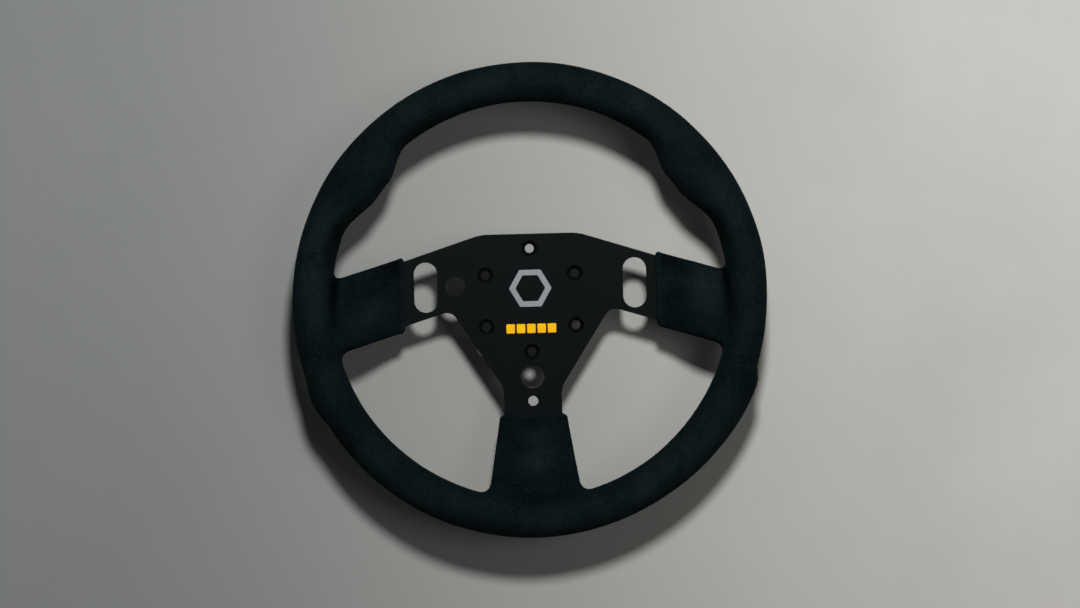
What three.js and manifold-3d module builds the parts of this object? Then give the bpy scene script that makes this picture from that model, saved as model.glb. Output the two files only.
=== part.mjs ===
// Quick release steering wheel: a three-spoke round wheel on a ball-lock hub, in millimetres.
// The steering axis is Z, the driver looks down from +Z, and +Y points to twelve o'clock.
// The origin is on the steering axis, at the open end of the hub, which is the wheel's lowest face.
import * as THREE from "three";
import { mergeVertices } from "three/addons/utils/BufferGeometryUtils.js";
import Module from "manifold-3d";

const wasm = await Module();
wasm.setup();

// ---- Driving dimensions ----

const GAP = 0.3; // clearance between neighbouring pieces

// Rim
const RIM_RADIUS = 160;
const RIM_INNER_RADIUS = 133.5;
const RIM_HALF_DEPTH = 15;
const RIM_CENTER_Z = 53;
const RIM_STEPS = 60;
const SUEDE_THICKNESS = 1.5;
const HOOP_RADIUS = 146.5;
const HOOP_ROD_RADIUS = 6;
const GRIP_SWELL = 9.5; // how far a thumb grip stands inwards
const GRIP_RISE = [20, 35]; // degrees above the horizontal where a grip grows
const GRIP_FALL = [41, 53]; // degrees where it ends, at a sharper shoulder
const RIGHT_BULGE = [2.4, -21.5, 6]; // worn spots on the outside: height, middle and half width (degrees)
const RIGHT_DENT = [-1.6, -16, 6];
const LEFT_BULGE = [2, 204, 9];
const PANEL_SEAMS = [-5, 90, 185, 270]; // degrees where the rim's suede panels meet

// Plate
const PLATE_BACK = 33;
const PLATE_FRONT = 37;
const PLATE_TOP_CORNER = [33, 45, 36]; // x, y and rounding of the plate's corners on the right
const PLATE_CROTCH = [53.9, -5.9, 9];
const PLATE_WAIST = [19.5, -59.5, 18];
const BOLT_CIRCLE_RADIUS = 35;
const BOLT_HOLE_RADIUS = 3;
const COUNTERSINK_RADIUS = 5.25;
const SLOT_CENTER = [70.9, 10.2];
const SLOT_HALF_WIDTH = 8;
const SLOT_LENGTH = 34;
const BUTTON_HOLES = [[0, -52, 8], [0, -68.5, 3.4], [-51, 10.2, 7]]; // x, y and radius

// Spokes: each arm rises from the plate to the rim between two distances from the axis
const RAMP_START = 88;
const RAMP_END = 116;
const ARM_END = 136;
const ARM_LIFT = 16;
const TONGUE_BOTTOM = PLATE_BACK + ARM_LIFT; // the arm's raised end
const TONGUE_TOP = PLATE_FRONT + ARM_LIFT;
const TONGUE_START = 92; // the arm narrows to a tongue inside the cover
const TONGUE_HALF_WIDTH = 14;
const SIDE_SLOPE = Math.tan(THREE.MathUtils.degToRad(17.3)); // a side arm falls away from the horizontal
const SIDE_COVER_START = 85.5;
const SIDE_TOP_Y = 28.2; // edges of a side arm where its cover starts
const SIDE_BOTTOM_Y = -15.8;
const BOTTOM_HALF_WIDTH = PLATE_WAIST[0];
const BOTTOM_COVER_START = 77;
const COVER_PADDING = 2.4;
const COVER_OVER_TOP = 2.8; // how far a side cover stands past its arm's edges
const COVER_OVER_BOTTOM = 3.8;
const COVER_CORNER = 2.5; // roundings of the side covers: at the hem, and where they run into the rim
const TOP_FILLET = 7;
const BOTTOM_FILLET = 6;
const BOTTOM_COVER_HEM = 20.5; // half widths of the bottom cover: at its hem, behind it and at the rim
const BOTTOM_COVER_NECK = 23;
const BOTTOM_COVER_FOOT = 30.5;

// Rivets that hold each tongue to its tab on the hoop
const RIVET_DISTANCE = 126;
const RIVET_OFFSET = 9;
const RIVET_RADIUS = 2.2;
const RIVET_HEAD_RADIUS = 4;
const RIVET_HEAD_HEIGHT = 1.5;
const RIVET_HEAD_TAPER = 1.2;
const TAB_START = 118;
const TAB_HALF_WIDTH = 13;
const TAB_THICKNESS = 3;
const TAB_TOP = TONGUE_BOTTOM - GAP;
const JOINT_TOP = TONGUE_TOP + GAP + RIVET_HEAD_HEIGHT;
const JOINT_BOTTOM = TAB_TOP - TAB_THICKNESS - GAP - RIVET_HEAD_HEIGHT;

// Hub
const FLANGE_RADIUS = 31;
const FLANGE_BACK = 28;
const HUB_RADIUS = 17;
const HUB_CHAMFER = 0.6;
const SOCKET_RADIUS = 12;
const SOCKET_DEPTH = 26;
const SPLINE_START = 13;
const SPLINE_COUNT = 12;
const SPLINE_ROOT_RADIUS = 11.9;
const SPLINE_TIP_RADIUS = 10.9;
const SPLINE_ROOT = [0.08, 0.46]; // shares of the pitch where a groove and a tooth start and end
const SPLINE_TIP = [0.58, 0.96];
const EDGE_BREAK = 1; // chamfer on the edges of hub and collar
const STUD_CIRCLE_RADIUS = 25.4;
const STUD_RADIUS = 2.5;
const STUD_HEAD_RADIUS = 3.9;
const STUD_HEAD_HEIGHT = 1.6;
const STUD_END = 23.2;
const STUD_CHAMFER = 0.5;
const NUT_ACROSS_FLATS = 8;
const NUT_HEIGHT = 4;

// Ball lock
const BALL_RADIUS = 3.175;
const BALL_Z = 8.5;
const BALL_ORBIT = HUB_RADIUS - BALL_RADIUS; // locked: flush outside the hub, proud in the socket
const BALL_TRAVEL = 1.35;
const COLLAR_TRAVEL = 5;
const COLLAR_BOTTOM = 2.5;
const COLLAR_TOP = 17.5;
const COLLAR_RADIUS = 23.5;
const COLLAR_FLUTES = 20;
const FLUTE_DEPTH = 0.9;
const LIP_RADIUS = 27.5;
const LIP_TOP = 6.5;
const SPRING_SEAT = 12; // floor of the spring pocket in the collar
const SPRING_POCKET_RADIUS = 20.4;
const SPRING_RADIUS = 18.7;
const SPRING_WIRE_RADIUS = 0.7;
const SPRING_TURNS = 5;
const RING_RADIUS = 20.5;
const RING_GROOVE_RADIUS = 16;
const RING_BOTTOM = 1.1;
const RING_TOP = 2.2;
const RING_CLEARANCE = 0.1;
const RING_OPENING = 0.16; // half angle in radians

// Marks on the front of the plate
const EMBLEM_Y = 8;
const EMBLEM_RADIUS = 14.5;
const EMBLEM_STROKE = 4.4;
const STRIPE_Y = -19.3;
const STRIPE_SIZE = [35, 7];
const MARK_THICKNESS = 0.3;
const MARK_CORNER = 1.5;

// ---- Materials ----

function finish(color, roughness, metalness) {
  return new THREE.MeshStandardMaterial({ color, roughness, metalness });
}

const suede = () => finish(0x12181b, 0.95, 0);
const steel = () => finish(0x9a9da0, 0.35, 1);

// ---- Solids ----

// A closed geometry as a solid that can be joined and cut.
function solidOf(geometry) {
  const bare = geometry.clone();
  bare.deleteAttribute("normal");
  bare.deleteAttribute("uv");
  const merged = mergeVertices(bare, 1e-4);
  const vertProperties = merged.attributes.position.array;
  const triVerts = new Uint32Array(merged.index.array);
  return new wasm.Manifold(new wasm.Mesh({ numProp: 3, vertProperties, triVerts }));
}

// A solid as a geometry for a mesh.
function geometryOf(solid) {
  const { vertProperties, triVerts } = solid.getMesh();
  const geometry = new THREE.BufferGeometry();
  geometry.setAttribute("position", new THREE.BufferAttribute(vertProperties, 3));
  geometry.setIndex(new THREE.BufferAttribute(triVerts, 1));
  geometry.computeVertexNormals();
  return geometry;
}

// A plan outline raised between two heights.
function prism(shape, bottom, top, curveSegments = 6) {
  const options = { depth: top - bottom, bevelEnabled: false, curveSegments };
  return new THREE.ExtrudeGeometry(shape, options).translate(0, 0, bottom);
}

// A body of revolution about Z, from [radius, height] pairs that go up the outside.
function turned(profile, segments) {
  const points = profile.map(([radius, height]) => new THREE.Vector2(radius, height));
  return new THREE.LatheGeometry(points, segments).rotateX(Math.PI / 2);
}

// A round cutter along Z.
function drill(x, y, radius, bottom, top, segments) {
  const pin = new THREE.CylinderGeometry(radius, radius, top - bottom, segments).rotateX(Math.PI / 2);
  return solidOf(pin.translate(x, y, (bottom + top) / 2));
}

// A point on a circle about the axis, at an angle in degrees.
function polar(radius, degrees) {
  const angle = THREE.MathUtils.degToRad(degrees);
  return [radius * Math.cos(angle), radius * Math.sin(angle)];
}

// Six places on a circle about the axis.
function sixPlaces(radius, firstDegrees) {
  return [0, 1, 2, 3, 4, 5].map((i) => polar(radius, firstDegrees + 60 * i));
}

function circlePath(x, y, radius) {
  return new THREE.Path().absarc(x, y, radius, 0, 2 * Math.PI);
}

// A closed outline through [x, y, radius] corners, each rounded by its radius.
function roundedShape(corners) {
  const shape = new THREE.Shape();
  corners.forEach(([x, y, radius], i) => {
    const corner = new THREE.Vector2(x, y);
    const before = new THREE.Vector2(...corners.at(i - 1)).sub(corner);
    const after = new THREE.Vector2(...corners[(i + 1) % corners.length]).sub(corner);
    const halfAngle = Math.acos(before.dot(after) / before.length() / after.length()) / 2;
    const reach = radius / Math.tan(halfAngle);
    const start = corner.clone().add(before.setLength(reach));
    const end = corner.clone().add(after.setLength(reach));
    if (i === 0) shape.moveTo(start.x, start.y);
    else shape.lineTo(start.x, start.y);
    if (radius > 0) shape.quadraticCurveTo(x, y, end.x, end.y);
  });
  return shape;
}

// ---- Rim ----

// A smooth hump of height 1, given an angle, the hump's middle and its half width.
function hump(angle, middle, halfWidth) {
  const share = Math.min(1, Math.abs(angle - middle) / halfWidth);
  return (1 + Math.cos(Math.PI * share)) / 2;
}

// The rim's edges in plan at an angle in degrees: thumb grips inside, soft worn spots outside.
function rimRadii(degrees) {
  const aboveHorizontal = degrees > 90 ? 180 - degrees : degrees;
  const grown = THREE.MathUtils.smoothstep(aboveHorizontal, ...GRIP_RISE);
  const ended = THREE.MathUtils.smoothstep(aboveHorizontal, ...GRIP_FALL);
  let outer = RIM_RADIUS;
  for (const [height, middle, halfWidth] of [RIGHT_BULGE, RIGHT_DENT, LEFT_BULGE]) {
    outer += height * hump(degrees, middle, halfWidth);
  }
  return [RIM_INNER_RADIUS - GRIP_SWELL * grown * (1 - ended), outer];
}

// The rim's oval body, drawn in all round by an inset.
function rimBody(inset, sides) {
  const geometry = new THREE.TorusGeometry(HOOP_RADIUS, 1, sides, RIM_STEPS);
  const position = geometry.attributes.position;
  const point = new THREE.Vector3();
  for (let i = 0; i < position.count; i++) {
    point.fromBufferAttribute(position, i);
    let degrees = THREE.MathUtils.radToDeg(Math.atan2(point.y, point.x));
    if (degrees < -90) degrees += 360;
    const [inner, outer] = rimRadii(degrees);
    const across = Math.hypot(point.x, point.y) - HOOP_RADIUS;
    const radius = (inner + outer) / 2 + across * ((outer - inner) / 2 - inset);
    position.setXYZ(i, ...polar(radius, degrees), RIM_CENTER_Z + point.z * (RIM_HALF_DEPTH - inset));
  }
  return solidOf(geometry);
}

function hoopRod(radius) {
  const ring = new THREE.TorusGeometry(HOOP_RADIUS, radius, 6, RIM_STEPS);
  return solidOf(ring.translate(0, 0, RIM_CENTER_Z));
}

// The rim's suede, a shell cut into four panels at its cross seams.
function rimPanels() {
  let shell = rimBody(0, 12).subtract(rimBody(SUEDE_THICKNESS, 8));
  for (const degrees of PANEL_SEAMS) {
    const cut = new THREE.BoxGeometry(RIM_RADIUS, GAP, 4 * RIM_HALF_DEPTH);
    cut.translate(RIM_RADIUS, 0, RIM_CENTER_Z).rotateZ(THREE.MathUtils.degToRad(degrees));
    shell = shell.subtract(solidOf(cut));
  }
  for (const room of armRooms) shell = shell.subtract(room);
  const panels = {};
  for (const panel of shell.decompose()) {
    const { min, max } = panel.boundingBox();
    const height = min[1] + max[1] > 0 ? "upper" : "lower";
    const side = min[0] + max[0] > 0 ? "right" : "left";
    panels[`${height}_${side}`] = panel;
  }
  return panels;
}

// ---- Spokes ----

// A block that rises along the right-hand spoke, with its [bottom, top] heights at the plate and the rim.
function risingBlock(start, end, atPlate, atRim) {
  const halfWidth = BOTTOM_COVER_START;
  const profile = new THREE.Shape([
    new THREE.Vector2(start, atPlate[0]),
    new THREE.Vector2(RAMP_START, atPlate[0]),
    new THREE.Vector2(RAMP_END, atRim[0]),
    new THREE.Vector2(end, atRim[0]),
    new THREE.Vector2(end, atRim[1]),
    new THREE.Vector2(RAMP_END, atRim[1]),
    new THREE.Vector2(RAMP_START, atPlate[1]),
    new THREE.Vector2(start, atPlate[1]),
  ]);
  return solidOf(prism(profile, -halfWidth, halfWidth).rotateX(Math.PI / 2));
}

const sideEdge = (y, x) => y - SIDE_SLOPE * (x - SIDE_COVER_START);
const sideMiddle = (x) => sideEdge((SIDE_TOP_Y + SIDE_BOTTOM_Y) / 2, x);

// Corners of an arm's covered end, from its upper edge round the tongue to its lower edge.
function sideArmCorners(margin, end) {
  const half = TONGUE_HALF_WIDTH + margin;
  const shoulder = TONGUE_START - 2 + margin;
  return [
    [shoulder, sideEdge(SIDE_TOP_Y, shoulder) + margin, 0],
    [TONGUE_START + margin, sideMiddle(TONGUE_START) + half, 0],
    [end, sideMiddle(end) + half, 0],
    [end, sideMiddle(end) - half, 0],
    [TONGUE_START + margin, sideMiddle(TONGUE_START) - half, 0],
    [shoulder, sideEdge(SIDE_BOTTOM_Y, shoulder) - margin, 0],
  ];
}

// The same for the bottom arm, laid out along +X.
function bottomArmCorners(margin, end) {
  const half = TONGUE_HALF_WIDTH + margin;
  const wide = BOTTOM_HALF_WIDTH + margin;
  const shoulder = BOTTOM_COVER_START + 4 + margin;
  const upper = [[shoulder, wide, 0], [shoulder + 2, half, 0], [end, half, 0]];
  const lower = upper.map(([x, y, radius]) => [x, -y, radius]).reverse();
  return [...upper, ...lower];
}

// Plan outlines of the spoke covers, filleted into the rim and ending inside it.
function sideCoverShape() {
  const upper = (x) => sideEdge(SIDE_TOP_Y + COVER_OVER_TOP, x);
  const lower = (x) => sideEdge(SIDE_BOTTOM_Y - COVER_OVER_BOTTOM, x);
  return roundedShape([
    [SIDE_COVER_START, upper(SIDE_COVER_START), COVER_CORNER],
    [125, upper(125), TOP_FILLET],
    [131, 30, 0],
    [HOOP_RADIUS, 30, 0],
    [HOOP_RADIUS, -44, 0],
    [126, -44, 0],
    [123, lower(123), BOTTOM_FILLET],
    [SIDE_COVER_START, lower(SIDE_COVER_START), COVER_CORNER],
  ]);
}

function bottomCoverShape() {
  const start = BOTTOM_COVER_START;
  const upper = [
    [start, BOTTOM_COVER_HEM, 2],
    [start + 3.5, BOTTOM_COVER_NECK, 3],
    [126, BOTTOM_COVER_FOOT, 9],
    [129, 40, 0],
    [HOOP_RADIUS, 40, 0],
  ];
  const lower = upper.map(([x, y, radius]) => [x, -y, radius]).reverse();
  return roundedShape([...upper, ...lower]);
}

// All three spokes are laid out along +X, and then mirrored or turned into place.
const rightSpoke = {
  name: "right",
  coverStart: SIDE_COVER_START,
  coverShape: sideCoverShape(),
  armCorners: sideArmCorners,
  middle: sideMiddle,
  place: (solid) => solid,
};
const leftSpoke = { ...rightSpoke, name: "left", place: (solid) => solid.mirror([1, 0, 0]) };
const bottomSpoke = {
  name: "bottom",
  coverStart: BOTTOM_COVER_START,
  coverShape: bottomCoverShape(),
  armCorners: bottomArmCorners,
  middle: () => 0,
  place: (solid) => solid.rotate([0, 0, -90]),
};
const spokes = [rightSpoke, leftSpoke, bottomSpoke];

const TALL = [0, 90]; // heights of a prism that is cut to shape afterwards
const WIDE = 40; // half width of a hollow that is open towards the plate

// The hollow that an arm and its riveted joint need inside suede and foam.
function armRoom(spoke) {
  const start = spoke.coverStart - 5;
  const end = HOOP_RADIUS + 4;
  const plan = roundedShape([[start, WIDE, 0], ...spoke.armCorners(GAP, end), [start, -WIDE, 0]]);
  const atPlate = [PLATE_BACK - GAP, PLATE_FRONT + GAP];
  const atRim = [TONGUE_BOTTOM - GAP, TONGUE_TOP + GAP];
  const arm = risingBlock(start, end, atPlate, atRim);
  const jointHeight = JOINT_TOP - JOINT_BOTTOM + 2 * GAP;
  const joint = new THREE.BoxGeometry(end - RAMP_END, 2 * BOTTOM_COVER_START, jointHeight);
  joint.translate((end + RAMP_END) / 2, 0, (JOINT_TOP + JOINT_BOTTOM) / 2);
  const room = arm.add(solidOf(joint)).intersect(solidOf(prism(plan, ...TALL)));
  return spoke.place(room);
}

const armRooms = spokes.map(armRoom);

function spokeCover(spoke, room) {
  const atPlate = [PLATE_BACK - COVER_PADDING, PLATE_FRONT + COVER_PADDING];
  const atRim = [JOINT_BOTTOM - COVER_PADDING, JOINT_TOP + COVER_PADDING];
  const block = risingBlock(spoke.coverStart, HOOP_RADIUS, atPlate, atRim);
  const cover = block.intersect(solidOf(prism(spoke.coverShape, ...TALL)));
  return spoke.place(cover).subtract(room).subtract(rimBody(-GAP, 12));
}

// Rivet centres in plan: two across each tongue, in the order of the spokes.
function rivetPlaces() {
  const rows = [RIVET_OFFSET, -RIVET_OFFSET];
  const side = (sign) => rows.map((row) => [sign * RIVET_DISTANCE, sideMiddle(RIVET_DISTANCE) + row]);
  return [side(1), side(-1), rows.map((row) => [row, -RIVET_DISTANCE])];
}

function withRivetHoles(solid) {
  const cut = (rest, [x, y]) => rest.subtract(drill(x, y, RIVET_RADIUS + GAP, ...TALL, 10));
  return rivetPlaces().flat().reduce(cut, solid);
}

function rivet() {
  const bottom = TAB_TOP - TAB_THICKNESS - GAP;
  const top = TONGUE_TOP + GAP;
  return turned([
    [0, JOINT_BOTTOM],
    [RIVET_HEAD_RADIUS, JOINT_BOTTOM],
    [RIVET_HEAD_RADIUS, bottom],
    [RIVET_RADIUS, bottom],
    [RIVET_RADIUS, top],
    [RIVET_HEAD_RADIUS, top],
    [RIVET_HEAD_RADIUS - RIVET_HEAD_TAPER, JOINT_TOP],
    [0, JOINT_TOP],
  ], 8);
}

// The steel hoop inside the rim, with a tab under each spoke's tongue.
function rimHoop() {
  let hoop = hoopRod(HOOP_ROD_RADIUS);
  for (const spoke of spokes) {
    const corner = (x, side) => [x, spoke.middle(x) + side * TAB_HALF_WIDTH, 0];
    const upper = [corner(TAB_START, 1), corner(HOOP_RADIUS, 1)];
    const lower = [corner(HOOP_RADIUS, -1), corner(TAB_START, -1)];
    const plan = roundedShape([...upper, ...lower]);
    hoop = hoop.add(spoke.place(solidOf(prism(plan, TAB_TOP - TAB_THICKNESS, TAB_TOP))));
  }
  return withRivetHoles(hoop);
}

// ---- Plate ----

const boltPlaces = sixPlaces(BOLT_CIRCLE_RADIUS, 30);
const studPlaces = sixPlaces(STUD_CIRCLE_RADIUS, 0);

function slotPath(x, y) {
  const reach = SLOT_LENGTH / 2 - SLOT_HALF_WIDTH;
  const slot = new THREE.Path();
  slot.absarc(x, y + reach, SLOT_HALF_WIDTH, 0, Math.PI);
  slot.absarc(x, y - reach, SLOT_HALF_WIDTH, Math.PI, 2 * Math.PI);
  return slot;
}

function plateShape() {
  const right = [PLATE_TOP_CORNER, ...sideArmCorners(0, ARM_END), PLATE_CROTCH, PLATE_WAIST];
  const left = right.map(([x, y, radius]) => [-x, y, radius]).reverse();
  const foot = bottomArmCorners(0, ARM_END).map(([x, y, radius]) => [y, -x, radius]);
  const shape = roundedShape([...right, ...foot, ...left]);
  shape.holes.push(slotPath(SLOT_CENTER[0], SLOT_CENTER[1]), slotPath(-SLOT_CENTER[0], SLOT_CENTER[1]));
  for (const [x, y, radius] of BUTTON_HOLES) shape.holes.push(circlePath(x, y, radius));
  for (const [x, y] of boltPlaces) shape.holes.push(circlePath(x, y, BOLT_HOLE_RADIUS));
  return shape;
}

// The flat plate and its arms, cut in plan from a sheet that rises along each spoke.
function spokePlate() {
  const flat = new THREE.BoxGeometry(2 * RAMP_START, 2 * RAMP_START, PLATE_FRONT - PLATE_BACK);
  let sheet = solidOf(flat.translate(0, 0, (PLATE_FRONT + PLATE_BACK) / 2));
  for (const spoke of spokes) {
    const arm = risingBlock(RAMP_START - 1, ARM_END, [PLATE_BACK, PLATE_FRONT], [TONGUE_BOTTOM, TONGUE_TOP]);
    sheet = sheet.add(spoke.place(arm));
  }
  let plate = withRivetHoles(sheet.intersect(solidOf(prism(plateShape(), ...TALL, 10))));
  const sink = COUNTERSINK_RADIUS - BOLT_HOLE_RADIUS;
  for (const [x, y] of boltPlaces) {
    const cone = turned([
      [0, -sink],
      [BOLT_HOLE_RADIUS, -sink],
      [COUNTERSINK_RADIUS, 0],
      [COUNTERSINK_RADIUS, 1],
      [0, 1],
    ], 20);
    plate = plate.subtract(solidOf(cone.translate(x, y, PLATE_FRONT)));
  }
  for (const [x, y] of studPlaces) {
    const depth = PLATE_BACK + STUD_HEAD_HEIGHT + GAP;
    plate = plate.subtract(drill(x, y, STUD_HEAD_RADIUS + GAP, PLATE_BACK - 1, depth, 14));
  }
  return plate;
}

// ---- Hub ----

function splineShape() {
  const pitch = 360 / SPLINE_COUNT;
  const points = [];
  for (let i = 0; i < SPLINE_COUNT; i++) {
    const corner = (radius, share) => new THREE.Vector2(...polar(radius, pitch * (i + share)));
    points.push(...SPLINE_ROOT.map((share) => corner(SPLINE_ROOT_RADIUS, share)));
    points.push(...SPLINE_TIP.map((share) => corner(SPLINE_TIP_RADIUS, share)));
  }
  return new THREE.Shape(points);
}

// Flange, barrel and splined socket in one, with holes for the studs and the lock balls.
function hubBody() {
  const outside = turned([
    [0, 0],
    [HUB_RADIUS - HUB_CHAMFER, 0],
    [HUB_RADIUS, HUB_CHAMFER],
    [HUB_RADIUS, RING_BOTTOM - RING_CLEARANCE],
    [RING_GROOVE_RADIUS, RING_BOTTOM - RING_CLEARANCE],
    [RING_GROOVE_RADIUS, RING_TOP + RING_CLEARANCE],
    [HUB_RADIUS, RING_TOP + RING_CLEARANCE],
    [HUB_RADIUS, FLANGE_BACK],
    [FLANGE_RADIUS - EDGE_BREAK, FLANGE_BACK],
    [FLANGE_RADIUS, FLANGE_BACK + EDGE_BREAK],
    [FLANGE_RADIUS, PLATE_BACK - GAP],
    [0, PLATE_BACK - GAP],
  ], 24);
  const mouth = turned([
    [0, -1],
    [SOCKET_RADIUS + EDGE_BREAK, -1],
    [SOCKET_RADIUS + EDGE_BREAK, 0],
    [SOCKET_RADIUS, EDGE_BREAK],
    [SOCKET_RADIUS, SPLINE_START],
    [0, SPLINE_START],
  ], 24);
  let hub = solidOf(outside).subtract(solidOf(mouth));
  hub = hub.subtract(solidOf(prism(splineShape(), SPLINE_START - 0.5, SOCKET_DEPTH)));
  for (const [x, y] of studPlaces) {
    hub = hub.subtract(drill(x, y, STUD_RADIUS + GAP, FLANGE_BACK - 1, PLATE_BACK + 1, 10));
  }
  for (let i = 0; i < 6; i++) {
    const hole = new THREE.CylinderGeometry(BALL_RADIUS + GAP, BALL_RADIUS + GAP, 10, 12);
    hole.rotateZ(Math.PI / 2).translate(SOCKET_RADIUS + 3, 0, BALL_Z).rotateZ((i * Math.PI) / 3);
    hub = hub.subtract(solidOf(hole));
  }
  return hub;
}

// A stud whose flat head is pressed into the back of the plate, so nothing shows in front.
function stud() {
  return turned([
    [0, STUD_END],
    [STUD_RADIUS - STUD_CHAMFER, STUD_END],
    [STUD_RADIUS, STUD_END + STUD_CHAMFER],
    [STUD_RADIUS, PLATE_BACK],
    [STUD_HEAD_RADIUS, PLATE_BACK],
    [STUD_HEAD_RADIUS, PLATE_BACK + STUD_HEAD_HEIGHT],
    [0, PLATE_BACK + STUD_HEAD_HEIGHT],
  ], 8);
}

function nut() {
  const corners = sixPlaces(NUT_ACROSS_FLATS / Math.sqrt(3), 30);
  const shape = new THREE.Shape(corners.map(([x, y]) => new THREE.Vector2(x, y)));
  shape.holes.push(circlePath(0, 0, STUD_RADIUS + GAP));
  return prism(shape, FLANGE_BACK - GAP - NUT_HEIGHT, FLANGE_BACK - GAP, 6);
}

// ---- Ball lock ----

// The collar's bore is a cone that lets the balls out, a land that keeps them in, and a spring pocket.
function collarBore() {
  const slope = BALL_TRAVEL / COLLAR_TRAVEL;
  const tilt = Math.atan(slope);
  const atBall = BALL_ORBIT + (BALL_RADIUS + GAP) / Math.cos(tilt);
  const coneRadius = (z) => atBall + (BALL_Z - z) * slope;
  const land = HUB_RADIUS + GAP;
  return turned([
    [0, COLLAR_BOTTOM - 1],
    [coneRadius(COLLAR_BOTTOM - 1), COLLAR_BOTTOM - 1],
    [land, BALL_Z + (atBall - land) / slope],
    [land, SPRING_SEAT],
    [SPRING_POCKET_RADIUS, SPRING_SEAT],
    [SPRING_POCKET_RADIUS, COLLAR_TOP + 1],
    [0, COLLAR_TOP + 1],
  ], 36);
}

function releaseCollar() {
  const steps = COLLAR_FLUTES * 6;
  const outline = new THREE.Shape(Array.from({ length: steps }, (_, i) => {
    const wave = Math.abs(Math.sin((Math.PI * i) / 6));
    return new THREE.Vector2(...polar(COLLAR_RADIUS - FLUTE_DEPTH * (1 - wave), (360 * i) / steps));
  }));
  const lip = turned([
    [0, COLLAR_BOTTOM],
    [LIP_RADIUS - EDGE_BREAK, COLLAR_BOTTOM],
    [LIP_RADIUS, COLLAR_BOTTOM + EDGE_BREAK],
    [LIP_RADIUS, LIP_TOP - EDGE_BREAK],
    [LIP_RADIUS - EDGE_BREAK, LIP_TOP],
    [0, LIP_TOP],
  ], 36);
  return solidOf(prism(outline, LIP_TOP - 1, COLLAR_TOP)).add(solidOf(lip)).subtract(solidOf(collarBore()));
}

class SpringPath extends THREE.Curve {
  getPoint(t, target = new THREE.Vector3()) {
    const low = SPRING_SEAT + GAP + SPRING_WIRE_RADIUS;
    const high = FLANGE_BACK - GAP - SPRING_WIRE_RADIUS;
    return target.set(...polar(SPRING_RADIUS, 360 * SPRING_TURNS * t), low + (high - low) * t);
  }
}

function collarSpring() {
  const wire = new THREE.Shape(sixPlaces(SPRING_WIRE_RADIUS, 0).map(([x, y]) => new THREE.Vector2(x, y)));
  const options = { steps: 14 * SPRING_TURNS, bevelEnabled: false, extrudePath: new SpringPath() };
  return new THREE.ExtrudeGeometry(wire, options);
}

// The flat ring that stops the collar, open at one side so that it can be sprung into its groove.
function retainingRing() {
  const end = 2 * Math.PI - RING_OPENING;
  const shape = new THREE.Shape();
  shape.absarc(0, 0, RING_RADIUS, RING_OPENING, end);
  shape.absarc(0, 0, RING_GROOVE_RADIUS + GAP, end, RING_OPENING, true);
  return prism(shape, RING_BOTTOM, RING_TOP, 18);
}

// ---- Marks ----

// A plain hexagon ring.
function emblem() {
  const corners = (radius) => sixPlaces(radius, 0).map(([x, y]) => [x, y, MARK_CORNER]);
  const shape = roundedShape(corners(EMBLEM_RADIUS));
  shape.holes.push(roundedShape(corners(EMBLEM_RADIUS - EMBLEM_STROKE)));
  return prism(shape, 0, MARK_THICKNESS, 3);
}

// A plain bar.
function stripe() {
  const [x, y] = STRIPE_SIZE.map((length) => length / 2);
  const corners = [[x, y], [-x, y], [-x, -y], [x, -y]].map((corner) => [...corner, MARK_CORNER]);
  return prism(roundedShape(corners), 0, MARK_THICKNESS, 3);
}

// ---- Assembly ----

const wheel = new THREE.Group();

function add(name, shape, material, place = [0, 0, 0]) {
  const mesh = new THREE.Mesh(shape.isBufferGeometry ? shape : geometryOf(shape), material);
  mesh.name = name;
  mesh.position.set(...place);
  wheel.add(mesh);
}

const foam = armRooms.reduce(
  (rest, room) => rest.subtract(room),
  rimBody(SUEDE_THICKNESS + GAP, 8).subtract(hoopRod(HOOP_ROD_RADIUS + GAP)),
);
add("rim_hoop", rimHoop(), steel());
add("rim_foam", foam, finish(0x202022, 0.9, 0));
for (const [name, panel] of Object.entries(rimPanels())) add(`rim_cover_${name}`, panel, suede());

add("spoke_plate", spokePlate(), finish(0x16191a, 0.45, 0.6));
spokes.forEach((spoke, i) => {
  add(`spoke_cover_${spoke.name}`, spokeCover(spoke, armRooms[i]), suede());
  rivetPlaces()[i].forEach(([x, y], row) => {
    add(`rivet_${spoke.name}_${row + 1}`, rivet(), steel(), [x, y, 0]);
  });
});
add("emblem", emblem(), finish(0xc9ccce, 0.3, 0.9), [0, EMBLEM_Y, PLATE_FRONT]);
add("stripe", stripe(), finish(0xf2c40f, 0.5, 0), [0, STRIPE_Y, PLATE_FRONT]);

add("hub_body", hubBody(), finish(0x2a2c30, 0.35, 0.9));
studPlaces.forEach(([x, y], i) => {
  add(`hub_stud_${i + 1}`, stud(), steel(), [x, y, 0]);
  add(`hub_nut_${i + 1}`, nut(), steel(), [x, y, 0]);
});
sixPlaces(BALL_ORBIT, 0).forEach(([x, y], i) => {
  add(`lock_ball_${i + 1}`, new THREE.IcosahedronGeometry(BALL_RADIUS, 1), steel(), [x, y, BALL_Z]);
});
add("release_collar", releaseCollar(), finish(0x8b9095, 0.3, 0.9));
add("collar_spring", collarSpring(), steel());
add("retaining_ring", retainingRing(), steel());

export default wheel;
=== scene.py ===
"""Looks of the quick release steering wheel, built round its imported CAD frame."""

import math

import bmesh
import bpy
import numpy as np
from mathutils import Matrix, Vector
from mathutils.geometry import tessellate_polygon


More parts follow.
